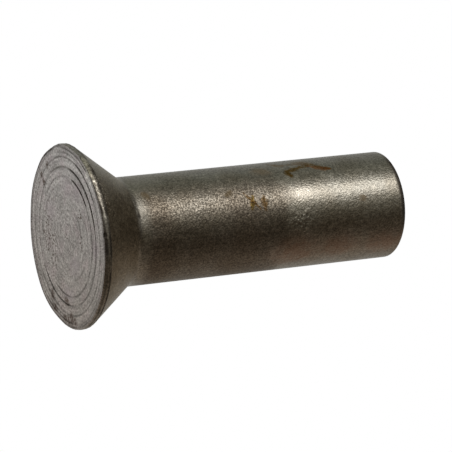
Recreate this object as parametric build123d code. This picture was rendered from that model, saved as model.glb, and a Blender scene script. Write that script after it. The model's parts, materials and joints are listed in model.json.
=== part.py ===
"""A solid countersunk rivet, cold headed in one piece from round steel wire.

It stands on its head. The origin is the centre of the head's flat face, and +Z runs up the shank to
the plain end. All sizes are in millimetres.
"""

from build123d import *
from math import radians, tan
import os

# Driving dimensions
shank_diameter = 10.0
overall_length = 32.4  # over the head, as a countersunk rivet is measured; 32 by name
head_diameter = 16.8
countersink_angle = 75.0  # the whole angle of the cone
rim_land = 0.57  # the die leaves the rim an upright land, so the cone has no knife edge

# Edges
face_edge_radius = 0.15  # where the punch's face ends and the rim begins
rim_edge_radius = 0.25  # where the rim's land turns in to the cone
neck_fillet_radius = 1.0  # the die's mouth is broken, so the neck is not a sharp corner
end_edge_radius = 0.4  # the sheared edge of the wire, rounded by tumbling

# The turned punch prints its tool marks on the face as shallow rings, each a V in section
ring_count = 4
ring_pitch = 0.84
ring_margin = 0.4  # from the rim to the middle of the outermost ring
ring_width = 0.24
ring_depth = 0.06


def cone_height(wide, narrow, whole_angle):
    """The height over which a cone of this whole angle narrows from one diameter to the other."""
    return (wide - narrow) / 2 / tan(radians(whole_angle / 2))


def rivet_section():
    """Half of the rivet's section, on the +X side of its axis.

    From the axis it runs out over the flat face, up the rim's land, in along the cone to the neck,
    up the shank's wall and back over the plain end.
    """
    head_radius = head_diameter / 2
    shank_radius = shank_diameter / 2
    # The head is as high as the land and the cone together, which comes to 5 mm.
    head_height = rim_land + cone_height(head_diameter, shank_diameter, countersink_angle)

    axis_at_face = (0, 0)
    axis_at_end = (0, overall_length)
    outline = (
        axis_at_face,
        (head_radius, 0),
        (head_radius, rim_land),
        (shank_radius, head_height),
        (shank_radius, overall_length),
        axis_at_end,
    )
    corner_radii = (face_edge_radius, rim_edge_radius, neck_fillet_radius, end_edge_radius)

    with BuildSketch(Plane.XZ) as section:
        with BuildLine():
            FilletPolyline(*outline, radius=corner_radii)
            Line(axis_at_end, axis_at_face)
        make_face()
        # Each cutter is as deep below the face as above it, so it leaves a V of the ring's width.
        cutter = ((-ring_width, -ring_depth), (ring_width, -ring_depth), (0, ring_depth))
        for ring in range(ring_count):
            ring_radius = head_radius - ring_margin - ring * ring_pitch
            with Locations((ring_radius, 0)):
                Polygon(*cutter, align=None, mode=Mode.SUBTRACT)
    return section.sketch


os.makedirs("parts", exist_ok=True)
rivet = revolve(rivet_section(), axis=Axis.Z)
export_step(rivet, "parts/rivet.step")
print("rivet", round(rivet.volume, 1), "mm3, in a box of", rivet.bounding_box().size)
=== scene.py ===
# %% [markdown]
# # A solid countersunk rivet in bare steel
#
# A countersunk rivet is one piece of steel. A press cuts a blank from round wire, holds it in a die with a
# 75 degree mouth, and strikes one end with a flat punch. The blow fills the mouth and makes the head. What
# the eye reads on the finished rivet is the work of those tools: tool rings printed on the flat face, a
# narrow upright rim, a smooth cone, and a shank with the dull grain of tumbled wire.
#
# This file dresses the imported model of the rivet. The model is the frame: it gives every size and place,
# and nothing here moves or resizes it. The rivet stands on its head, with +Z up its shank.

# %% Load the frame
import json
from math import asin, atan2, cos, degrees, exp, pi, radians, sin, tan

import bpy
from mathutils import Matrix, Vector, noise


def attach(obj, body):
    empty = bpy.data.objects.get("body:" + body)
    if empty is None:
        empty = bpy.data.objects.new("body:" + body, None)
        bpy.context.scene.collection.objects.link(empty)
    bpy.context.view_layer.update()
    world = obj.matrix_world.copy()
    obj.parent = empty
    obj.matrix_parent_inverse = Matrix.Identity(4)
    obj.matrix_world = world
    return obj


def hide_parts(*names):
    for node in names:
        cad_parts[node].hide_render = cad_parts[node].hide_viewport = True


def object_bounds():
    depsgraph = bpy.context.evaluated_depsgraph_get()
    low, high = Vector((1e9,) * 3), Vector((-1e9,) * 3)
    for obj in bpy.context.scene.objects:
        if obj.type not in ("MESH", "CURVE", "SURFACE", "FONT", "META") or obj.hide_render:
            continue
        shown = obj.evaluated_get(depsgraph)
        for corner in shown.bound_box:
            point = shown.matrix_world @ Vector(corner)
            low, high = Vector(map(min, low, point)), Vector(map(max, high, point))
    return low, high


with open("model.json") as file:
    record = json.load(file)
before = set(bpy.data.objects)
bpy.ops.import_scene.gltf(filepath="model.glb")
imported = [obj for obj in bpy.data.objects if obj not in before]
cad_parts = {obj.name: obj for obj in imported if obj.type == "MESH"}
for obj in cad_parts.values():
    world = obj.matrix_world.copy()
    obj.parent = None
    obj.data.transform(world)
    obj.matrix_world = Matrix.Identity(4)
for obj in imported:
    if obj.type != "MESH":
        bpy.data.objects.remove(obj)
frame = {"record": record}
cad_low, cad_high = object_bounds()
print("the packed model's box, in metres:", tuple(cad_low), tuple(cad_high))

# %% [markdown]
# ## Sizes
#
# The frame gives the overall box and the shank's mount, so the head's width, the length and the shank's
# radius are read from it. The small radii of the edges are too fine to be mounts, so they are named here,
# as the model has them. The sizes of the rivet and the camera are millimetres, because that is how a
# workshop drawing gives them. The studio's are metres, as Blender's own are.

# %% Read the rivet's sizes
MM = 0.001
shank_mount = next(mount for mount in frame["record"]["mounts"] if mount["name"] == "shank")
shank_radius = shank_mount["dims"]["r_mm"]
head_radius = (cad_high.x - cad_low.x) / 2 / MM
length = (cad_high.z - cad_low.z) / MM

cone_half_angle = radians(75 / 2)
rim_land = 0.57
head_height = rim_land + (head_radius - shank_radius) / tan(cone_half_angle)

face_edge_radius = 0.15
rim_edge_radius = 0.25
neck_fillet_radius = 1.0
end_edge_radius = 0.4
print(f"head {2 * head_radius:.2f} across and {head_height:.2f} high, length {length:.2f} mm")


def outward(azimuth):
    """The level direction at an azimuth in degrees. Azimuth 0 is -Y, and 90 is +X."""
    return Vector((sin(radians(azimuth)), -cos(radians(azimuth)), 0))


# %% [markdown]
# ## The camera
#
# The camera is aimed first, because it decides which marks are seen and where each lamp has to stand. It
# looks up at the standing rivet from 26 degrees below, so the flat face of the head is in view, and it is
# turned on its side, so that the shank runs to the right and a little upwards. A long lens from a good
# quarter of a metre keeps the perspective as gentle as it is in a catalogue picture.

# %% Aim the camera
camera_azimuth = 90
camera_lean = radians(26.02)
shank_rise = radians(6.17)
camera_distance = 279.42
aim_right, aim_down = 0.13, -0.50
lens_mm = 240.85

toward_camera = outward(camera_azimuth)
up_shank = Vector((0, 0, 1))
forward = up_shank * sin(camera_lean) - toward_camera * cos(camera_lean)
shank_in_picture = up_shank * cos(camera_lean) + toward_camera * sin(camera_lean)
across_shank = up_shank.cross(toward_camera)
right = shank_in_picture * cos(shank_rise) + across_shank * sin(shank_rise)
down = across_shank * cos(shank_rise) - shank_in_picture * sin(shank_rise)

middle = up_shank * length / 2
eye = (middle - right * aim_right - down * aim_down - forward * camera_distance) * MM

camera = bpy.data.objects.new("camera", bpy.data.cameras.new("camera"))
bpy.context.scene.collection.objects.link(camera)
camera.matrix_world = Matrix.Translation(eye) @ Matrix((right, -down, -forward)).transposed().to_4x4()
camera.data.lens = lens_mm
camera.data.clip_start, camera.data.clip_end = 0.01, 10
bpy.context.scene.camera = camera
bpy.context.scene.view_settings.view_transform = "Standard"
print("the camera stands at", tuple(round(c, 4) for c in eye))


# %% [markdown]
# ## The studio
#
# Bare steel shows its surroundings more than itself, so the studio is most of the finish. A photographer
# puts a small metal part in a cloth tent and lights it through the cloth. Here the tent is a large shell
# round the rivet with four lit cloths on it. The back cloth lights the face of the head and both outlines
# of the shank. A brown one stands for the bench below the picture. In front and overhead the tent is open
# to a dim brown room, and that opening is the dark band along the shank and the dark middle of the cone.
# The camera doesn't see the tent itself, so the picture keeps a white ground.

# %% Plan the tent's cloths
def linear(hex_colour):
    """An sRGB hex colour such as "#9a958a" as linear red, green, blue and alpha."""
    shares = [int(hex_colour[i : i + 2], 16) / 255 for i in (1, 3, 5)]
    return [s / 12.92 if s <= 0.04045 else ((s + 0.055) / 1.055) ** 2.4 for s in shares] + [1]


# Each cloth: the azimuth of its middle, its half width and its top and bottom edges in degrees, how
# bright it is, where 1 is white, and its colour.
cloths = {
    "back": (276, 50, 52, -62, 0.90, "#f7fdff"),
    "bench": (197, 42, 76, -35, 0.41, "#ffe9d4"),
    "lamp side": (57, 34, 42, -30, 0.42, "#faf6da"),
    "far side": (352, 38, 42, -30, 0.18, "#eaf4d6"),
}
room_light, room_colour = 0.046, "#ffcf94"
soft_edge = 18
print("the tent has", len(cloths), "cloths, whose edges are soft over", soft_edge, "degrees each way")


# %% Work out the tent's light
def smooth_step(value, low, high):
    """Rises from 0 to 1 as value goes from low to high, with soft ends."""
    share = min(max((value - low) / (high - low), 0), 1)
    return share * share * (3 - 2 * share)


def hill(distance):
    """A smooth bump of height 1, which is nearly gone at distance 2."""
    return exp(-distance * distance)


def away(azimuth, other):
    """How many degrees lie between two azimuths, from 0 to 180."""
    return abs((azimuth - other + 180) % 360 - 180)


def cloth_light(azimuth, elevation):
    """The tent's light in one direction as linear red, green and blue."""
    total = room_light * Vector(linear(room_colour)[:3])
    for middle_azimuth, half_width, top, bottom, light, colour in cloths.values():
        share = light * hill(away(azimuth, middle_azimuth) / half_width)
        share *= smooth_step(elevation, top + soft_edge, top - soft_edge)
        share *= smooth_step(elevation, bottom - soft_edge, bottom + soft_edge)
        total += share * Vector(linear(colour)[:3])
    return total


for cloth_name, (azimuth, *_) in cloths.items():
    print(f"light from the {cloth_name} cloth:", [round(c, 2) for c in cloth_light(azimuth, 0)])


# %% [markdown]
# One small function adds a node. It takes the node's settings by name, and its inputs in order or by name,
# as values or as other nodes, so each material below reads as a list of steps. Some nodes have sockets that
# their settings put out of use, and the function passes over those.

# %% Add a node
def add_node(tree, kind, inputs=(), **settings):
    """Adds a node, sets it up and joins its inputs, which are given in order or by name.

    An input is a value, a hex colour, another node's socket, or another node, whose first output is joined.
    """
    made = tree.nodes.new("ShaderNode" + kind)
    for name, value in settings.items():
        setattr(made, name, value)
    if isinstance(inputs, dict):
        inputs = [(made.inputs[name], value) for name, value in inputs.items()]
    else:
        inputs = zip([socket for socket in made.inputs if socket.enabled], inputs)
    for socket, value in inputs:
        if isinstance(value, bpy.types.Node):
            value = next(output for output in value.outputs if output.enabled)
        if isinstance(value, bpy.types.NodeSocket):
            tree.links.new(value, socket)
        else:
            socket.default_value = linear(value) if isinstance(value, str) else value
    return made


def new_material(name):
    """An empty material and its node tree."""
    material = bpy.data.materials.new(name)
    material.use_nodes = True
    material.node_tree.nodes.clear()
    return material, material.node_tree


print("Blender has", len(bpy.types.ShaderNode.__subclasses__()), "kinds of shader node")


# %% Hang the tent
tent_radius = 1.5
bpy.ops.mesh.primitive_uv_sphere_add(segments=90, ring_count=45, radius=tent_radius)
tent = bpy.context.object
tent.name = "light_tent"
painted_light = tent.data.color_attributes.new("cloth_light", "FLOAT_COLOR", "POINT")
for vertex in tent.data.vertices:
    x, y, z = vertex.co.normalized()
    azimuth = degrees(atan2(x, -y)) % 360
    painted_light.data[vertex.index].color = [*cloth_light(azimuth, degrees(asin(z))), 1]

cloth, tree = new_material("lit tent cloth")
painted = add_node(tree, "Attribute", attribute_name="cloth_light").outputs["Color"]
glow = add_node(tree, "Emission", {"Color": painted})
add_node(tree, "OutputMaterial", {"Surface": glow})
cloth.cycles.emission_sampling = "NONE"
tent.data.materials.append(cloth)
tent.visible_camera = False
print("the tent has a radius of", tent_radius, "m and is painted at", len(tent.data.vertices), "points")


# %% [markdown]
# The one lamp is a tall strip softbox. A strip beside a round bar draws one straight highlight along it,
# and its place round the bar is half way between the camera and the lamp. The world outside the tent is
# plain white and is only seen by the camera.

# %% Place the strip softbox and the white ground
strip_azimuth, strip_elevation = 49, 12
strip_distance, strip_width, strip_height = 0.5, 0.09, 0.50
strip_light = 11.6

strip = bpy.data.objects.new("strip_softbox", bpy.data.lights.new("strip_softbox", "AREA"))
bpy.context.scene.collection.objects.link(strip)
strip.data.shape = "RECTANGLE"
strip.data.size, strip.data.size_y = strip_width, strip_height
strip.data.energy = strip_light * pi * strip_width * strip_height
strip.data.color = linear("#fff9f4")[:3]
strip_lean = radians(strip_elevation)
strip_direction = outward(strip_azimuth) * cos(strip_lean) + up_shank * sin(strip_lean)
strip.location = strip_direction * strip_distance
strip.rotation_mode = "QUATERNION"
strip.rotation_quaternion = strip_direction.to_track_quat("Z", "Y")
strip.visible_camera = False

world = bpy.data.worlds.new("white ground")
world.use_nodes = True
world.node_tree.nodes["Background"].inputs["Color"].default_value = linear("#ffffff")
bpy.context.scene.world = world
print("strip softbox of", round(strip.data.energy, 2), "W")

# %% [markdown]
# The floor is a pale sheet just under the head. From above it is white, with the rivet's soft shadow on it.
# The camera looks up from below, so the sheet is clear from that side, as a glass table would be. Only the
# camera sees it, and the metal mirrors the tent alone. It fades to plain white away from the rivet, so no
# horizon shows.

# %% Lay the floor
floor_drop, floor_radius = 0.02 * MM, 1.4
fade_start, fade_end = 0.01, 0.12
under_head = (0, 0, -floor_drop)
bpy.ops.mesh.primitive_circle_add(vertices=64, radius=floor_radius, fill_type="NGON", location=under_head)
table = bpy.context.object
table.name = "floor"

sheet, tree = new_material("pale table sheet")
paper = add_node(tree, "BsdfDiffuse", {"Color": "#f4f3f1"})
sheet_light = add_node(tree, "Emission", {"Color": "#ffffff", "Strength": 0.62})
from_above = add_node(tree, "AddShader", (paper, sheet_light))
plain_white = add_node(tree, "Emission", {"Color": "#ffffff"})
place_on_sheet = add_node(tree, "TexCoord").outputs["Object"]
from_rivet = add_node(tree, "VectorMath", [place_on_sheet], operation="LENGTH")
far_share = add_node(tree, "MapRange", (from_rivet, fade_start, fade_end))
faded = add_node(tree, "MixShader", (far_share, from_above, plain_white))
from_below = add_node(tree, "BsdfTransparent")
backfacing = add_node(tree, "NewGeometry").outputs["Backfacing"]
side = add_node(tree, "MixShader", (backfacing, faded, from_below))
add_node(tree, "OutputMaterial", {"Surface": side})
sheet.cycles.emission_sampling = "NONE"
table.data.materials.append(sheet)
for sight in ("visible_diffuse", "visible_glossy", "visible_transmission", "visible_shadow"):
    setattr(table, sight, False)
print(f"the floor lies {floor_drop / MM:.2f} mm under the head")


# %% [markdown]
# ## The section
#
# The rivet is a body of revolution, so its shape is one section and a turn. Blender could spin the section
# with a Screw modifier, but the real face is not quite round or smooth, so the grid's points are made here
# one by one: a row for each point of the section and a column for each step round. Then the wear of the
# real one can move each point before the mesh is made. Rows lie close together where the section curves
# and on the face, which has the finest relief, and far apart on the straight shank.

# %% Draw the rounded corners and straight stretches
def rounded(before, corner, after, radius, steps):
    """The arc that rounds one corner of the section, as (radius, height) points."""
    to_before = (Vector(before) - Vector(corner)).normalized()
    to_after = (Vector(after) - Vector(corner)).normalized()
    half = to_before.angle(to_after) / 2
    centre = Vector(corner) + (to_before + to_after).normalized() * radius / sin(half)
    start = Vector(corner) + to_before * radius / tan(half) - centre
    end = Vector(corner) + to_after * radius / tan(half) - centre
    return [centre + start.slerp(end, step / steps) * radius for step in range(steps + 1)]


def stretch(start, end, spacing):
    """Points along a straight stretch, without its two ends."""
    start, end = Vector(start), Vector(end)
    count = max(1, round((end - start).length / spacing))
    return [start.lerp(end, step / count) for step in range(1, count)]


print("a 1 mm corner in 2 steps:", rounded((0, 0), (5, 0), (5, 5), 1, steps=2))


# %% Put the section together
face_rim = (head_radius, 0)
land_top = (head_radius, rim_land)
neck = (shank_radius, head_height)
end_rim = (shank_radius, length)

face_edge = rounded((0, 0), face_rim, land_top, face_edge_radius, steps=6)
cone_edge = rounded(face_rim, land_top, neck, rim_edge_radius, steps=7)
neck_arc = rounded(land_top, neck, end_rim, neck_fillet_radius, steps=8)
end_arc = rounded(neck, end_rim, (0, length), end_edge_radius, steps=8)
# The cropped edge is rolled over further across the end than along the shank.
end_roll = 0.72
end_arc = [Vector((radius, length - (length - height) * end_roll)) for radius, height in end_arc]

ringed_from = 5.2
cone_foot = Vector(land_top).lerp(Vector(neck), 0.1)
end_collar = end_arc[0] - Vector((0, 0.45))
# How far apart the rows lie on each stretch, in millimetres.
plain_face, ringed_face, land, first_cone, cone = 0.12, 0.06, 0.03, 0.04, 0.25
shank, collar, plain_end = 1.5, 0.08, 0.3
section = [
    *stretch((0, 0), (ringed_from, 0), plain_face),
    Vector((ringed_from, 0)),
    *stretch((ringed_from, 0), face_edge[0], ringed_face),
    *face_edge,
    *stretch(face_edge[-1], cone_edge[0], land),
    *cone_edge,
    *stretch(cone_edge[-1], cone_foot, first_cone),
    cone_foot,
    *stretch(cone_foot, neck_arc[0], cone),
    *neck_arc,
    *stretch(neck_arc[-1], end_collar, shank),
    end_collar,
    *stretch(end_collar, end_arc[0], collar),
    *end_arc,
    *stretch(end_arc[-1], (0, length), plain_end),
]
columns = 420
print(len(section), "rows of", columns, "columns")


# %% [markdown]
# ## What the tools left
#
# The punch's face was turned on a lathe, and its feed marks are printed on the head as rings. They lie a
# little off the rivet's own axis, because the punch never meets the blank dead centre. Each ring is
# pressed deep on one side and fades out on another. The deep stretches are painted dark, as shade in
# the groove, which is what makes them read as dark lines, so the same function that cuts a ring also
# says how dark it is painted.

# %% Describe the rings
ring_shift, ring_shift_azimuth = 0.16, 50
ring_width = 0.26
# A ring this deep is painted fully dark, as shade in its groove.
fully_shaded_depth = 0.05
# Each stretch: the ring's radius, the middle of the stretch and its half length in degrees, and its depth.
ring_stretches = (
    (3.10, 75, 28, 0.030),
    (4.02, 60, 7, 0.025),
    (5.50, 45, 24, 0.075),
    (5.50, 90, 34, 0.030),
    (5.46, 150, 42, 0.022),
    (5.46, 203, 24, 0.034),
    (6.31, 52, 44, 0.070),
    (6.31, 5, 20, 0.026),
    (6.31, 132, 48, 0.028),
    (6.31, 215, 43, 0.045),
    (6.31, 280, 34, 0.018),
    (6.31, 350, 15, 0.024),
    (7.08, 224, 24, 0.026),
    (7.20, 50, 28, 0.058),
    (7.20, 14, 30, 0.030),
    (7.20, 96, 44, 0.036),
    (7.20, 155, 42, 0.026),
    (5.50, 320, 70, 0.014),
    (6.31, 100, 50, 0.030),
    (6.31, 310, 60, 0.020),
    (7.20, 240, 70, 0.022),
    (7.20, 325, 50, 0.022),
    (7.62, 225, 34, 0.022),
    (7.62, 20, 30, 0.016),
    (7.66, 120, 40, 0.014),
    (7.95, 290, 70, 0.026),
    (8.05, 28, 32, 0.040),
    (8.02, 150, 36, 0.020),
    (7.90, 208, 34, 0.030),
)
deepest_ring = max(depth for *_, depth in ring_stretches)
print(len(ring_stretches), "stretches of ring, the deepest", deepest_ring, "mm")


# %% Work out the rings' marks
def off_axis(radius, azimuth):
    """How far a point of the face moves outwards, so that the rings lie round their own centre."""
    held = smooth_step(radius, 0, 2) * smooth_step(radius, head_radius - face_edge_radius, 7.6)
    return ring_shift * held * cos(radians(azimuth - ring_shift_azimuth))


def ring_mark(radius, azimuth):
    """How deep the face is marked at a point, in millimetres, and how dark it is painted there, as shade in
    the groove.
    """
    depth = 0
    chatter = 1.0 + 0.5 * noise.noise(Vector((radius * 2, azimuth / 5, 3)))
    for ring_radius, middle_azimuth, half_length, deepest in ring_stretches:
        off_line = abs(radius - ring_radius) / (ring_width / 2)
        off_middle = away(azimuth, middle_azimuth) / half_length
        if off_line < 1 and off_middle < 1:
            depth = max(depth, deepest * (1 - off_line) * smooth_step(off_middle, 1, 0.5) * chatter)
    return depth, min(depth / fully_shaded_depth, 1)


print("a deep ring marks the face by", round(ring_mark(5.50, 45)[0], 3), "mm")


# %% [markdown]
# Between the deep rings the whole face has a faint ripple from the lathe's fine feed. The head is not quite
# round either. It carries slight flats where the wire's edge was scarce, a nick in its rim and a lump of
# burr, and the rim's land is rough, because the two dies meet there. Dark lines are laid where the face
# turns into the land and where the land turns into the cone, and painted shade darkens the land round
# the lamp's highlight, the rim's top edge and the neck under the highlight.

# %% Describe the dark lines and painted shade round the head
# Each dark line: how strong it is, the azimuth of its middle, how many degrees away it ends and how
# many away it begins to fade, its height and its half width. The first two darken the crease between the
# land and the cone, and the land itself at azimuth 130. The last three are painted shade: on the rim's top
# edge, on the land where the lamp's highlight falls, and in the neck under that highlight.
dark_lines = (
    (1.30, 130, 43, 29, 0.62, 0.11),
    (0.75, 130, 43, 29, 0.24, 0.13),
    (0.50, 24, 18, 8, 0.55, 0.16),
    (0.30, 80, 20, 10, 0.30, 0.25),
    (0.90, 72, 30, 14, head_height + 0.14, 0.20),
)


def rim_dirt_and_shade(radius, height, azimuth):
    """How dark the edges of the rim's land, the land and the neck are painted: dark lines and painted shade.
    """
    behind = smooth_step(away(azimuth, 285), 95, 55)
    # A dark line round the face just inside its edge, and the face's edge darker at the back.
    dirt_and_shade = 0.55 * hill((radius - head_radius + 0.20) / 0.1) * hill(height / 0.04)
    dirt_and_shade += 0.60 * hill((radius - head_radius + 0.05) / 0.2) * hill(height / 0.2) * behind
    for strength, middle_azimuth, ends, fades, line_height, half_width in dark_lines:
        along = smooth_step(away(azimuth, middle_azimuth), ends, fades)
        dirt_and_shade += strength * along * hill((height - line_height) / half_width)
    # Painted shade darkens the land above and below a line that climbs a little, so that the lamp's highlight
    # on the land is a narrow line.
    bright_line = 0.20 + 0.004 * max(azimuth - 52, 0)
    on_land = smooth_step(height, 0, 0.08) * smooth_step(height, 0.75, 0.6)
    on_land *= smooth_step(away(azimuth, 74), 36, 24)
    dirt_and_shade += 1.05 * on_land * (1 - hill((height - bright_line) / 0.12))
    patchy = 0.8 + 0.6 * noise.noise(outward(azimuth) * 9 + Vector((0, 0, 2)))
    return patchy * dirt_and_shade


print("dirt where the land meets the cone:", round(rim_dirt_and_shade(head_radius, 0.62, 130), 2))


# %% Describe the head's wear
feed, ripple_depth = 0.62, 0.008
# Each flat: its azimuth, its half width in degrees and how far it cuts in. The last one stands out.
flats = ((205, 20, 0.14), (284, 12, 0.07), (3, 12, -0.10))
nick_azimuth, burr_azimuth = 91, 33


def head_swell(radius, height, azimuth):
    """How far a point of the head lies outside its true circle, in millimetres."""
    swell = 0.09 * smooth_step(away(azimuth, 285), 70, 45)
    swell += 0.05 * noise.noise(outward(azimuth) * 3 + Vector((7, 0, 0)))
    for flat_azimuth, half_width, depth in flats:
        swell -= depth * hill(away(azimuth, flat_azimuth) / half_width)
    rough = 0.034 * noise.noise(outward(azimuth) * 22 + Vector((0, 0, height * 6)))
    on_land = smooth_step(height, 0, 0.12) * smooth_step(height, 0.9, 0.5)
    return swell * smooth_step(radius, 6.6, head_radius) + rough * on_land


def near_spot(point, azimuth, height, half_degrees, half_width):
    """1 at a spot on the rim, and nearly 0 from twice its half sizes away."""
    radius, point_height, point_azimuth = point
    distance = Vector((radius - head_radius, point_height - height)).length
    return hill(away(point_azimuth, azimuth) / half_degrees) * hill(distance / half_width)


def head_wear(radius, height, azimuth):
    """The move outwards and upwards of a point of the head, in millimetres, and how dark it is painted: dark
    lines and painted shade.
    """
    up, dirt_and_shade = 0, rim_dirt_and_shade(radius, height, azimuth)
    if height < face_edge_radius:
        depth, ring_shade = ring_mark(radius, azimuth)
        depth += ripple_depth * sin(2 * pi * radius / feed) * smooth_step(radius, 0.4, 1.2)
        up = depth * smooth_step(height, face_edge_radius, 0)
        dirt_and_shade = max(dirt_and_shade, ring_shade)
    point = (radius, height, azimuth)
    nick = near_spot(point, nick_azimuth, height=0.05, half_degrees=1.3, half_width=0.22)
    # Painted shade in the nick.
    nick_shade = 1.6 * near_spot(point, nick_azimuth, height=0.04, half_degrees=1.6, half_width=0.20)
    burr = near_spot(point, burr_azimuth, height=0.20, half_degrees=3, half_width=0.30)
    out = head_swell(radius, height, azimuth) + 0.12 * burr - 0.08 * nick
    return out, up + 0.05 * nick, min(max(dirt_and_shade, nick_shade), 1)


deepest_flat = head_swell(head_radius, rim_land / 2, flats[0][0])
print("the rim's deepest flat lies", round(-deepest_flat, 3), "mm inside its circle")


# %% [markdown]
# The plain end was cropped from the coil. The blade leaves one side smooth and tears the rest, so the end is
# a few hundredths of a millimetre hollow and uneven.

# %% Describe the plain end
crop_azimuth = 150


def end_relief(place):
    """How far the plain end lies below its highest point, in millimetres."""
    torn = smooth_step(place.dot(outward(crop_azimuth)), 2.5, -1.0)
    uneven = noise.noise(place * 0.9 + Vector((3, 1, 0))) + 0.5 * noise.noise(place * 2.6)
    return 0.03 + 0.045 * torn + 0.035 * uneven * torn


def end_wear(radius, height, azimuth):
    """The move upwards of a point near the plain end, in millimetres, and the painted shade on its corner,
    where the lamp's highlight ends.
    """
    up = 0
    if height > length - 0.001:
        up = -end_relief(outward(azimuth) * radius) * smooth_step(radius, shank_radius - 0.45, 3.8)
    # Painted shade on the end's corner, on the side of the lamp's highlight.
    on_corner = smooth_step(height, length - 0.68, length - 0.36) * smooth_step(radius, 4.5, 4.7)
    return up, 0.95 * smooth_step(away(azimuth, 72), 52, 28) * on_corner


middle_of_end = Vector((0, 0, 0))
print("the plain end is", round(end_relief(middle_of_end), 3), "mm hollow in its middle")


# %% [markdown]
# ## The mesh
#
# Each point of the section goes once round the axis, and the wear moves it. The first and last points lie on
# the axis and close the two ends. The dark lines and painted shade go into the mesh as a value at each
# point, because they follow the shape, and the material reads it there.

# %% Make the rivet's mesh
points, dirt_and_shade_marks = [Vector((0, 0, 0))], [0]
for radius, height in section:
    for column in range(columns):
        azimuth = 360 * column / columns
        out, up, dirt_and_shade = 0, 0, 0
        if height < head_height + 1:
            out, up, dirt_and_shade = head_wear(radius, height, azimuth)
        if height == 0:
            out += off_axis(radius, azimuth)
        if height > length - 0.8:
            up, dirt_and_shade = end_wear(radius, height, azimuth)
        points.append((outward(azimuth) * (radius + out) + up_shank * (height + up)) * MM)
        dirt_and_shade_marks.append(dirt_and_shade)
points.append(up_shank * (length - end_relief(middle_of_end)) * MM)
dirt_and_shade_marks.append(0)


def at(row, column):
    """The number of the point in this row and column of the grid."""
    return 1 + row * columns + column % columns


last_row, tip = len(section) - 1, len(points) - 1
faces = [(0, at(0, c + 1), at(0, c)) for c in range(columns)]
for row in range(last_row):
    faces += [(at(row, c), at(row, c + 1), at(row + 1, c + 1), at(row + 1, c)) for c in range(columns)]
faces += [(at(last_row, c), at(last_row, c + 1), tip) for c in range(columns)]

mesh = bpy.data.meshes.new("rivet_steel")
mesh.from_pydata([tuple(point) for point in points], [], faces)
mesh.shade_smooth()
mesh.attributes.new("dirt_and_shade", "FLOAT", "POINT").data.foreach_set("value", dirt_and_shade_marks)
rivet = bpy.data.objects.new("rivet_steel", mesh)
bpy.context.scene.collection.objects.link(rivet)
triangles = sum(len(face) - 2 for face in faces)
print("the rivet has", len(points), "points and", triangles, "triangles")


# %% [markdown]
# ## The steel
#
# Bare low-carbon steel, cold headed and tumbled. It is a metal, so it has no colour under its reflection,
# and its base colour is the colour of the reflection itself: a warm grey, darker than polished steel,
# because a thin skin of oxide lies on it. Tumbling leaves a fine grain, under a fifth of a millimetre,
# which spreads each highlight and breaks it into sparkles. All patterns are sized in millimetres on the
# object's own coordinates, so nothing stretches and no unwrapping is needed.
#
# A few kinds of node do most of the work. Noise Texture makes grain. Map Range takes a value, the two ends
# that it comes from and the two that it goes to, which are 0 and 1 if they aren't given, and holds it there.
# Math and Vector Math work out numbers and places. Mix lays one colour over another, and set to multiply it
# tints what lies below.

# %% Steel: places and grains
steel, tree = new_material("tumbled bare steel")
place = add_node(tree, "TexCoord").outputs["Object"]
in_mm = add_node(tree, "VectorMath", (place, 1 / MM), operation="SCALE")
axes = add_node(tree, "SeparateXYZ", [in_mm]).outputs
height_mm = axes["Z"]

# Each grain: its size in millimetres, and how many finer sizes it holds.
grain_sizes = ((2.6, 4), (1.7, 3), (0.45, 3), (0.25, 2), (0.20, 1), (0.16, 2))
patches, mauve, coarse, fleck, prick, fine = (
    add_node(tree, "TexNoise", {"Vector": in_mm, "Scale": 1 / size, "Detail": detail})
    for size, detail in grain_sizes
)
print("grains from", grain_sizes[0][0], "down to", grain_sizes[-1][0], "mm")

# %% [markdown]
# ### Oxide skin and grain
#
# The oxide skin is patchy, from clean grey to a slightly mauve or brown grey. From the neck to the middle of
# the shank a dull film has stayed on one side. It has worn off in grains, so it looks like salt and pepper in
# the highlight. Beyond it the die has rubbed the steel bright.

# %% Steel: oxide skin
on_face = add_node(tree, "MapRange", (height_mm, 0.1, 0.0))
patchy = add_node(tree, "MapRange", (patches, 0.38, 0.62))
skin = add_node(tree, "Mix", (patchy, "#827f77", "#8b8a84"), data_type="RGBA")
face_skin = add_node(tree, "Mix", (patchy, "#a49f9c", "#aea9a6"), data_type="RGBA")
mauve_share = add_node(tree, "MapRange", (mauve, 0.48, 0.66, 0, 0.5))
face_skin = add_node(tree, "Mix", (mauve_share, face_skin, "#a99c9d"), data_type="RGBA")
skin = add_node(tree, "Mix", (on_face, skin, face_skin), data_type="RGBA")
print("nodes up to the oxide skin:", len(tree.nodes))


# %% Steel: dull film
def facing(azimuth, low, high, radius=shank_radius):
    """Rises from 0 to 1 as the surface turns towards an azimuth, or falls where low is above high."""
    turned = add_node(tree, "VectorMath", (in_mm, outward(azimuth) / radius), operation="DOT_PRODUCT")
    return add_node(tree, "MapRange", (turned, low, high))


def near(height, half_width):
    """1 at a height on the shank, and 0 from half_width away."""
    above = add_node(tree, "Math", (height_mm, height), operation="SUBTRACT")
    distance = add_node(tree, "Math", [above], operation="ABSOLUTE")
    return add_node(tree, "MapRange", (distance, half_width / 3, half_width, 1, 0))


wandering = add_node(tree, "Math", (patches, 5.0, height_mm), operation="MULTIPLY_ADD")
film = facing(118, 0.1, 0.5)
for limit in ((height_mm, 5.4, 6.4), (wandering, 21.8, 23.0, 1, 0)):
    film = add_node(tree, "Math", (film, add_node(tree, "MapRange", limit)), operation="MULTIPLY")
bands = add_node(tree, "Math", (near(7.2, 1.5), near(15.8, 3.0)), operation="ADD")
thick = add_node(tree, "Math", (film, bands), operation="MULTIPLY")
print("nodes up to the film:", len(tree.nodes))

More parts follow.
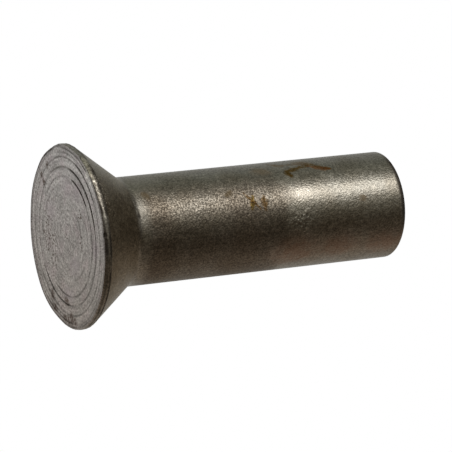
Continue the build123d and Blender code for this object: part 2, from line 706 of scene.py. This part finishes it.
# %% Steel: flakes of the film
flake_size = 0.15
elsewhere = add_node(tree, "VectorMath", (in_mm, (5, 3, 9)), operation="ADD")
flakes = add_node(tree, "TexNoise", {"Vector": elsewhere, "Scale": 1 / flake_size, "Detail": 2})
flakes = add_node(tree, "MapRange", (flakes, 0.44, 0.56, -0.5, 0.5))
# The flakes' contrast is painted strongest on the side towards the lamp, as sparkle in its highlight.
lamp_side = add_node(tree, "Math", (facing(60, 0.5, 0.95), 0.65, 0.35), operation="MULTIPLY_ADD")
flakes = add_node(tree, "Math", (flakes, lamp_side, 0.5), operation="MULTIPLY_ADD")
flake_tint = add_node(tree, "Mix", (flakes, "#f0ece9", "#aea9a5"), data_type="RGBA")
film_skin = add_node(tree, "Mix", (1.0, skin, flake_tint), data_type="RGBA", blend_type="MULTIPLY")
film_skin = add_node(tree, "Mix", (thick, film_skin, "#fbf7f4"), data_type="RGBA", blend_type="MULTIPLY")
skin = add_node(tree, "Mix", (film, skin, film_skin), data_type="RGBA")
print("the flakes are", flake_size, "mm across")

# %% Steel: speckle
speckle = add_node(tree, "Math", (
    add_node(tree, "MapRange", (fine, 0.32, 0.68, 0.62, 1.38)),
    add_node(tree, "MapRange", (coarse, 0.3, 0.7, 0.86, 1.14)),
), operation="MULTIPLY")
face_speckle = add_node(tree, "Math", (
    add_node(tree, "MapRange", (fleck, 0.3, 0.7, 0.70, 1.30)),
    add_node(tree, "MapRange", (fine, 0.32, 0.68, 0.75, 1.25)),
), operation="MULTIPLY")
speckle = add_node(tree, "Mix", (on_face, speckle, face_speckle))
colour = add_node(tree, "VectorMath", (skin, speckle), operation="SCALE")
print("nodes up to the speckle:", len(tree.nodes))


# %% [markdown]
# ### Turned and drawn lines
#
# The finest marks of the lathe are too fine to model. They are a noise drawn out along circles round the
# punch's own centre: its coordinates are the distance from that centre and the direction, so each grain is
# long round the axis and narrow across. They are drawn three times as coarse as real ones, so that they show.
# The wire was drawn through a die, so the shank has faint straight lines along its length in the same way.

# %% Steel: turned lines on the face
ring_centre = outward(ring_shift_azimuth) * ring_shift
from_centre = add_node(tree, "VectorMath", (in_mm, ring_centre), operation="SUBTRACT")
level = add_node(tree, "VectorMath", (from_centre, (1, 1, 0)), operation="MULTIPLY")
distance = add_node(tree, "VectorMath", [level], operation="LENGTH")
direction = add_node(tree, "VectorMath", [level], operation="NORMALIZE")
across = add_node(tree, "Math", (distance, 3.0), operation="MULTIPLY")
across = add_node(tree, "CombineXYZ", {"Z": across})
circles = add_node(tree, "VectorMath", (direction, (2.2, 2.2, 2.2), across), operation="MULTIPLY_ADD")
turned = add_node(tree, "TexNoise", {"Vector": circles, "Scale": 1, "Detail": 3})
# The face is also made a little lighter towards its rim.
turned_shade = add_node(tree, "Math", (
    add_node(tree, "MapRange", (turned, 0.3, 0.7, 0.72, 1.28)),
    add_node(tree, "MapRange", (distance, 3.0, 8.0, 0.96, 1.07)),
), operation="MULTIPLY")
print("the turned lines are round a centre", ring_shift, "mm off the axis")

# %% Steel: drawn lines on the shank
drawn = add_node(tree, "Mapping", {"Vector": in_mm, "Scale": (0.22, 0.22, 5.0)}, vector_type="TEXTURE")
drawn = add_node(tree, "TexNoise", {"Vector": drawn, "Scale": 1, "Detail": 2})
drawn_shade = add_node(tree, "MapRange", (drawn, 0.35, 0.65, 0.93, 1.07))
shade = add_node(tree, "Mix", (on_face, drawn_shade, turned_shade))
colour = add_node(tree, "VectorMath", (colour, shade), operation="SCALE")
# Painted shade: the face is darkened towards azimuth 185.
face_side_shade = add_node(tree, "Math", (facing(5, 0.9, -0.9, head_radius), on_face), operation="MULTIPLY")
colour = add_node(tree, "Mix", (face_side_shade, colour, "#e0dad3"), data_type="RGBA", blend_type="MULTIPLY")
print("nodes up to the drawn lines:", len(tree.nodes))


# %% [markdown]
# ### Drag lines on the plain end
#
# The cropping blade drags straight lines across the end. They are a noise drawn out along the blade's path,
# twice as coarse as real ones, and the torn steel between them is dull and has gone brown.

# %% Steel: plain end
on_end = add_node(tree, "Math", (
    add_node(tree, "MapRange", (height_mm, length - 0.3, length - 0.2)),
    add_node(tree, "MapRange", (distance, 4.7, 4.4)),
), operation="MULTIPLY")
dragged = add_node(tree, "Mapping", {
    "Vector": in_mm,
    "Rotation": (0, 0, radians(crop_azimuth)),
    "Scale": (0.22, 3.0, 1),
}, vector_type="TEXTURE")
drag_lines = add_node(tree, "TexNoise", {"Vector": dragged, "Scale": 1, "Detail": 3})
torn = add_node(tree, "MapRange", (drag_lines, 0.3, 0.7))
grey_torn = add_node(tree, "Mix", (torn, "#575149", "#746e66"), data_type="RGBA")
brown_torn = add_node(tree, "Mix", (torn, "#5a4c3f", "#6e6257"), data_type="RGBA")
brown_share = add_node(tree, "MapRange", (patches, 0.4, 0.6))
torn_skin = add_node(tree, "Mix", (brown_share, grey_torn, brown_torn), data_type="RGBA")
colour = add_node(tree, "Mix", (on_end, colour, torn_skin), data_type="RGBA")
print("the blade dragged its lines at", crop_azimuth, "degrees")


# %% [markdown]
# ### Rust and stains
#
# Water has dried on the rivet and left small rust marks, and fingers and oil have left brown ones. A round
# mark is a soft blob placed on the surface by its azimuth and height. A long one is a streak, a line of
# short runs on the unrolled shank. The edges of both are made ragged by pushing the coordinates about with
# noise, and they are broken up by grain, as rust starts in the pits.

# %% Steel: make a blob
def pushed(size, reach, places):
    """Coordinates pushed about by noise, so that the edge of what is placed on them is ragged."""
    push = add_node(tree, "TexNoise", {"Vector": in_mm, "Scale": 1 / size, "Detail": 4}).outputs["Color"]
    push = add_node(tree, "VectorMath", (push, (0.5, 0.5, 0.5)), operation="SUBTRACT")
    return add_node(tree, "VectorMath", (push, reach, places), operation="MULTIPLY_ADD")


ragged = pushed(0.9, (1.1, 1.1, 1.1), in_mm)


def blob(azimuth, radius, height, half_round, half_up, half_out=1.2):
    """The share of a blob centred on the surface: 1 in its middle and 0 outside its half sizes in mm."""
    local = add_node(tree, "Mapping", {
        "Vector": ragged,
        "Location": outward(azimuth) * radius + up_shank * height,
        "Rotation": (0, 0, radians(azimuth - 90)),
        "Scale": (half_out, half_round, half_up),
    }, vector_type="TEXTURE")
    return add_node(tree, "TexGradient", [local], gradient_type="SPHERICAL").outputs["Fac"]


def blobs(*places):
    """The largest share of several blobs."""
    share = 0.0
    for place_and_size in places:
        share = add_node(tree, "Math", (blob(*place_and_size), share), operation="MAXIMUM")
    return share


def broken(share, low=0.2, high=0.6, depth=2.0, by=coarse):
    """A stain's share, from its soft edge at low to full at high, broken up by the grain."""
    uneven = add_node(tree, "Math", (by, 0.5), operation="SUBTRACT")
    uneven = add_node(tree, "Math", (uneven, depth, 1.0), operation="MULTIPLY_ADD")
    share = add_node(tree, "Math", (share, uneven), operation="MULTIPLY")
    return add_node(tree, "MapRange", (share, low, high))


print("nodes up to the ragged places:", len(tree.nodes))


# %% Steel: make a streak
turn = add_node(tree, "Math", (axes["Y"], -1.0), operation="MULTIPLY")
turn = add_node(tree, "Math", (axes["X"], turn), operation="ARCTAN2")
round_shank = add_node(tree, "Math", (turn, shank_radius), operation="MULTIPLY")
unrolled = add_node(tree, "CombineXYZ", {"X": round_shank, "Y": height_mm})
frayed = pushed(0.5, (0.55, 0.55, 0), unrolled)


def run(start, end, start_width, end_width):
    """The share of one straight run of a streak: 1 on its line and 0 at its half width."""
    line = end - start
    from_start = add_node(tree, "VectorMath", (frayed, start), operation="SUBTRACT")
    along = add_node(tree, "VectorMath", (from_start, line / line.length_squared), operation="DOT_PRODUCT")
    along = add_node(tree, "MapRange", (along, 0, 1))
    nearest = add_node(tree, "VectorMath", (line, along), operation="SCALE")
    off_line = add_node(tree, "VectorMath", (from_start, nearest), operation="DISTANCE")
    width = add_node(tree, "MapRange", (along, 0, 1, start_width, end_width))
    off_line = add_node(tree, "Math", (off_line, width), operation="DIVIDE")
    return add_node(tree, "Math", (1.0, off_line), operation="SUBTRACT")


def streaks(*lines):
    """The largest share of several streaks, each through stops: an azimuth, a height and a half width."""
    share = -1.0
    for stops in lines:
        places = [Vector((radians(azimuth) * shank_radius, height, 0)) for azimuth, height, _ in stops]
        widths = [width for *_, width in stops]
        for ends in zip(places, places[1:], widths, widths[1:]):
            share = add_node(tree, "Math", (run(*ends), share), operation="MAXIMUM")
    return share


print("the unrolled shank is", round(2 * pi * shank_radius, 1), "mm round")


# %% Steel: scratches on the cone
aslant = add_node(tree, "Mapping", {
    "Vector": unrolled,
    "Rotation": (0, 0, radians(-27)),
    "Scale": (1.6, 0.13, 1),
}, vector_type="TEXTURE")
scratches = add_node(tree, "TexNoise", {"Vector": aslant, "Scale": 1, "Detail": 2})
scuff = blobs((118, 7.0, 2.2, 2.8, 1.8), (140, 6.5, 3.2, 2.6, 1.8))
scuff = add_node(tree, "Math", (
    add_node(tree, "MapRange", (scuff, 0, 0.5)),
    add_node(tree, "MapRange", (scratches, 0.45, 0.75)),
), operation="MULTIPLY")
print("nodes up to the scuffs:", len(tree.nodes))

# %% Steel: where the shank has rusted
# Each stop of a streak: its azimuth, its height, and the streak's half width there, in millimetres.
rust_line = (
    (46, 21.45, 0.26),
    (42, 21.20, 0.34),
    (38, 21.45, 0.32),
    (37, 22.00, 0.30),
    (34, 22.70, 0.26),
    (30, 23.50, 0.38),
    (29, 24.05, 0.28),
    (35, 24.70, 0.30),
    (40, 25.40, 0.28),
    (41, 25.75, 0.14),
)
rust_pool = (
    (33, 23.80, 0.20),
    (38, 24.55, 0.34),
    (40, 25.10, 0.38),
    (41, 25.65, 0.10),
)
brown_line = (
    (19, 20.15, 0.14),
    (24, 20.70, 0.45),
    (26, 21.30, 0.40),
    (25, 22.70, 0.30),
    (26, 23.60, 0.35),
)
crossing_scratches = (
    ((62, 16.00, 0.10), (70, 16.40, 0.13), (77, 16.98, 0.13), (82, 17.35, 0.09)),
    ((68, 17.87, 0.18), (75, 17.80, 0.42), (83, 17.86, 0.22)),
    ((72, 18.15, 0.07), (79, 17.95, 0.10), (82, 17.80, 0.07)),
)
gold_line = ((67, 16.76, 0.18), (74, 16.60, 0.34), (80, 16.46, 0.20))
print("the rust's longest streak has", len(rust_line), "stops")

# %% Steel: rust on the shank
brown_share = add_node(tree, "Math", (streaks(brown_line), 0.6, -0.45), operation="MULTIPLY_ADD")
thin_share = add_node(tree, "Math", (streaks(rust_line), brown_share), operation="MAXIMUM")
# Each mark of rust: its share, how much it is widened, its two ends, how broken up it is and by which grain.
rust_fringe, orange_rust, scratch_rust, gold_rust = (
    broken(add_node(tree, "Math", (share, wider), operation="ADD"), low, high, depth, grain)
    for share, wider, low, high, depth, grain in (
        (thin_share, 0.4, 0.05, 1.1, 3.2, fleck),
        (streaks(rust_pool), 0.1, 0.0, 0.6, 2.6, fleck),
        (streaks(*crossing_scratches), 0.3, 0.1, 1.1, 3.0, fleck),
        (streaks(gold_line), 0.2, 0.1, 0.8, 3.0, fine),
    )
)
print("nodes up to the rust on the shank:", len(tree.nodes))

# %% Steel: stains and red bands on the shank
# Each blob: its azimuth, the radius and height of its middle, and its half sizes round, up and out.
on_shank = shank_radius
brown_spots = (
    (26, on_shank, 20.9, 0.60, 0.80),
    (24, on_shank, 23.4, 0.60, 1.40),
    (18, on_shank, 20.1, 0.80, 0.30),
    (34, on_shank, 18.8, 1.00, 1.60),
    (61, on_shank, 14.5, 0.50, 0.50),
    (54, on_shank, 6.4, 0.60, 0.60),
    (82, on_shank, 27.9, 0.40, 0.60),
)
brown_stain = broken(blobs(*brown_spots), 0.1, 0.7)
# Reddish-brown bands along the lower side of the shank.
red_bands = (
    (134, on_shank, 21.0, 2.6, 3.6),
    (135, on_shank, 30.4, 2.0, 3.2),
    (132, on_shank, 25.5, 2.0, 3.2),
)
red_tint = broken(blobs(*red_bands), 0.05, 0.8)
print(len(brown_spots), "brown spots and", len(red_bands), "red bands")

# %% Steel: stains on the face
# A mark on the face reaches this far up, in millimetres.
flat = 0.4
face_spots = (
    (324, 6.76, 0, 0.45, flat, 0.50),
    (326, 7.30, 0, 0.40, flat, 0.40),
    (338, 7.20, 0, 0.40, flat, 0.40),
    (182, 7.60, 0, 0.60, flat, 0.50),
    (187, 7.40, 0, 0.45, flat, 1.00),
    (192, 7.50, 0, 0.50, flat, 0.60),
    (198, 7.60, 0, 0.60, flat, 0.50),
    (195, 5.90, 0, 0.70, flat, 0.50),
    (224, 6.80, 0, 0.80, flat, 0.50),
    (216, 7.60, 0, 0.90, flat, 0.40),
)
face_stain = broken(blobs(*face_spots), 0.05, 0.6, 5.0, fleck)
pink_patches = (
    (311, 4.00, 0, 1.40, flat, 1.6),
    (13, 4.70, 0, 1.60, flat, 1.4),
    (40, 5.00, 0, 1.20, flat, 1.2),
    (155, 2.90, 0, 1.60, flat, 1.2),
    (103, 6.30, 0, 1.40, flat, 0.9),
    (190, 5.20, 0, 1.60, flat, 1.0),
    (345, 7.60, 0, 1.20, flat, 0.7),
)
pink_bloom = broken(blobs(*pink_patches), 0.02, 0.8)
print(len(face_spots), "brown spots and", len(pink_patches), "pink patches")

# %% Steel: rust in the pits of the face
pitted_rust = (
    (281, 5.00, 0, 0.90, flat, 1.00),
    (274, 4.60, 0, 0.80, flat, 0.80),
    (261, 4.60, 0, 0.60, flat, 0.60),
    (268, 2.80, 0, 1.00, flat, 1.40),
    (290, 4.20, 0, 1.20, flat, 1.00),
    (274, 4.20, 0, 1.40, flat, 1.30),
    (243, 3.80, 0, 1.00, flat, 1.00),
    (318, 5.20, 0, 0.80, flat, 0.60),
    (0, 0.10, 0, 0.50, flat, 0.50),
    (62, 3.90, 0, 0.70, flat, 0.50),
    (100, 3.30, 0, 0.80, flat, 0.50),
)
rust_specks = add_node(tree, "Math", (
    add_node(tree, "MapRange", (blobs(*pitted_rust), 0.0, 0.5)),
    add_node(tree, "MapRange", (fleck, 0.47, 0.38)),
), operation="MULTIPLY")
dusty_side = add_node(tree, "Math", (facing(270, -0.4, 0.5, head_radius), 0.5, 0.2), operation="MULTIPLY_ADD")
pricks = add_node(tree, "MapRange", (prick, 0.40, 0.34))
for limit in (dusty_side, on_face):
    pricks = add_node(tree, "Math", (pricks, limit), operation="MULTIPLY")
for specks in (rust_specks, pricks):
    face_stain = add_node(tree, "Math", (face_stain, specks), operation="MAXIMUM")
print(len(pitted_rust), "rusty places, and pricks of rust all over the face")

# %% Steel: painted shade under the highlight, and the cone's warm skin
# Painted shade: two patches darkened along the lower edge of the lamp's highlight.
highlight_edge_shade = blobs((82, on_shank, 15.8, 1.4, 2.6), (82, on_shank, 7.0, 1.2, 1.4))
highlight_edge_shade = add_node(tree, "MapRange", (highlight_edge_shade, 0, 0.6))
colour = add_node(tree, "Mix", (highlight_edge_shade, colour, "#e4e2e0"), data_type="RGBA", blend_type="MULTIPLY")
on_cone = add_node(tree, "Math", (
    add_node(tree, "MapRange", (height_mm, 0.5, 0.9)),
    add_node(tree, "MapRange", (height_mm, head_height - 0.4, head_height, 1, 0)),
), operation="MULTIPLY")
warmer = add_node(tree, "VectorMath", (colour, (1.10, 1.05, 0.95)), operation="MULTIPLY")
colour = add_node(tree, "Mix", (on_cone, colour, warmer), data_type="RGBA")
print("nodes up to the cone's warm skin:", len(tree.nodes))

# %% Steel: painted glints and highlights
# Painted glints by the neck and on the cone's upper edge.
neck_glint = blobs((34, on_shank, 6.4, 2.4, 2.0), (38, 7.3, 1.7, 2.6, 1.8))
# A spot under the lamp's highlight: polished, so less rough, and its colour lightened as a painted highlight.
polished_highlight = blobs((67, on_shank, 21.8, 1.8, 2.6))
# Painted highlight along the rim's land, with sparkling grain in it, where the steel is also less rough.
rim_highlight = blobs((50, head_radius, 0.22, 2.6, 0.3))
rim_highlight_share = add_node(tree, "MapRange", (rim_highlight, 0, 0.5))
rim_grain = add_node(tree, "MapRange", (fine, 0.42, 0.58))
rim_highlight_colour = add_node(tree, "Mix", (rim_grain, "#aca79e", "#fffaf0"), data_type="RGBA")
# Painted glints on the cone just above the rim.
cone_glints = add_node(tree, "Math", (
    add_node(tree, "MapRange", (fine, 0.58, 0.68)),
    blobs((66, 8.2, 0.8, 2.2, 0.7)),
), operation="MULTIPLY")
cone_glints = add_node(tree, "MapRange", (cone_glints, 0, 0.3))
# The mesh's value of dark lines, and of painted shade in the grooves, the nick, the neck, the end's corner
# and round the lamp's highlight.
dirt_and_shade = add_node(tree, "Attribute", attribute_name="dirt_and_shade").outputs["Fac"]
print("nodes up to the rubbed places:", len(tree.nodes))

# %% [markdown]
# ### The order of the marks
#
# The marks are laid on in this order: the painted glints and the polished spot's painted highlight first,
# then scuffs and stains, then rust, then the rim's painted highlight and glints, and the dark lines and
# painted shade last. A stain covers the steel. Rust on the shank is thin, so it only tints the steel, and
# the grain and the shine still show through it.

# %% Steel: put the marks on
# Each mark: where it lies, how strong it is, its colour, and whether it covers the steel or tints it.
# The colour of the painted glints and of the polished spot's painted highlight.
glint_colour = "#a5a39d"
marks = (
    (neck_glint, 0.40, glint_colour, "MIX"),
    (polished_highlight, 0.35, glint_colour, "MIX"),
    (scuff, 0.50, "#b8b2a8", "MIX"),
    (pink_bloom, 0.35, "#a08f95", "MIX"),
    (red_tint, 0.48, "#7a5a48", "MIX"),
    (brown_stain, 0.60, "#5b4c2e", "MIX"),
    (face_stain, 0.90, "#46342a", "MIX"),
    (gold_rust, 1.00, "#d8c280", "MULTIPLY"),
    (scratch_rust, 0.90, "#cca866", "MULTIPLY"),
    (rust_fringe, 1.00, "#cca864", "MULTIPLY"),
    (orange_rust, 1.00, "#dcb18a", "MULTIPLY"),
    (rim_highlight_share, 0.75, rim_highlight_colour, "MIX"),
    (cone_glints, 1.00, "#e4dfd4", "MIX"),
    (dirt_and_shade, 0.85, "#231d19", "MIX"),
)
for where, strength, tint, way in marks:
    share = add_node(tree, "Math", (where, strength), operation="MULTIPLY")
    colour = add_node(tree, "Mix", (share, colour, tint), data_type="RGBA", blend_type=way)
print(len(marks), "marks on the steel")

# %% [markdown]
# ### Relief and shine
#
# The grain is also relief, a few hundredths of a millimetre deep. Two patches near the middle of the shank
# have deeper pits, whose walls catch the lamp one by one. A film, rust, and the mesh's dark lines and painted
# shade make the steel duller, and rust and brown stains make it less of a metal.

# %% Steel: how rough it is
rusty = add_node(tree, "Math", (orange_rust, scratch_rust), operation="MAXIMUM")
rusty = add_node(tree, "Math", (rusty, 0.25), operation="MULTIPLY")
brown = add_node(tree, "Math", (brown_stain, 0.4), operation="MULTIPLY")
rusty = add_node(tree, "Math", (rusty, brown), operation="MAXIMUM")
flake_dullness = add_node(tree, "MapRange", (flakes, 0, 1, 0.2, 1.0))
dulled = add_node(tree, "Math", (film, flake_dullness), operation="MULTIPLY")
dulled = add_node(tree, "Math", (thick, 0.4, dulled), operation="MULTIPLY_ADD")

# Each place: where it is, and how much rougher than tumbled steel it is.
tumbled_roughness = 0.335
rougher_places = (
    (dulled, 0.12),
    (polished_highlight, -0.07),
    (add_node(tree, "MapRange", (rim_highlight, 0, 0.4)), -0.05),
    (add_node(tree, "MapRange", (coarse, 0.3, 0.7)), 0.08),
    (on_cone, 0.04),
    (on_end, 0.28),
    (add_node(tree, "Math", (rusty, dirt_and_shade), operation="MAXIMUM"), 0.30),
)
roughness = tumbled_roughness
for where, rougher in rougher_places:
    roughness = add_node(tree, "Math", (where, rougher, roughness), operation="MULTIPLY_ADD")
print("roughness from", tumbled_roughness, "in", len(rougher_places), "steps")

# %% Steel: relief
pit_size, relief_depth = 0.34, 0.026
pitted = broken(blobs((102, on_shank, 21.4, 1.7, 1.9), (150, on_shank, 21.4, 1.0, 1.6)), 0.1, 0.8)
pits = add_node(tree, "TexVoronoi", {"Vector": in_mm, "Scale": 1 / pit_size})
rough_cone = add_node(tree, "MapRange", (height_mm, 0.3, 0.9, 0.35, 0.8))
grain_depth = add_node(tree, "MapRange", (height_mm, head_height - 0.5, head_height + 0.5, rough_cone, 1.0))
bumps = add_node(tree, "Math", (coarse, 0.3, fine), operation="MULTIPLY_ADD")
bumps = add_node(tree, "Math", (bumps, grain_depth), operation="MULTIPLY")
for where, pattern, depth in ((pitted, pits, 2.4), (on_face, turned, 1.2), (on_end, drag_lines, 2.0)):
    pattern = add_node(tree, "Math", (where, pattern), operation="MULTIPLY")
    bumps = add_node(tree, "Math", (pattern, depth, bumps), operation="MULTIPLY_ADD")
relief = add_node(tree, "Bump", {"Strength": 1.0, "Distance": relief_depth * MM, "Height": bumps})
print("the grain stands up to", relief_depth, "mm high, and the walls of the pits higher")

# %% Steel: the surface
surface = add_node(tree, "BsdfPrincipled", {
    "Base Color": colour,
    "Metallic": add_node(tree, "Math", (rusty, -0.85, 1.0), operation="MULTIPLY_ADD"),
    "Specular Tint": "#dddad7",
    "Roughness": roughness,
    "Normal": relief,
})
add_node(tree, "OutputMaterial", {"Surface": surface})
mesh.materials.append(steel)
print("the steel has", len(tree.nodes), "nodes and", len(tree.links), "links")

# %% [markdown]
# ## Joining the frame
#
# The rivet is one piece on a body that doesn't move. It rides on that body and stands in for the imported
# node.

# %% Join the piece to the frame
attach(rivet, "root")
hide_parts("rivet")
print(rivet.name, "rides on root")
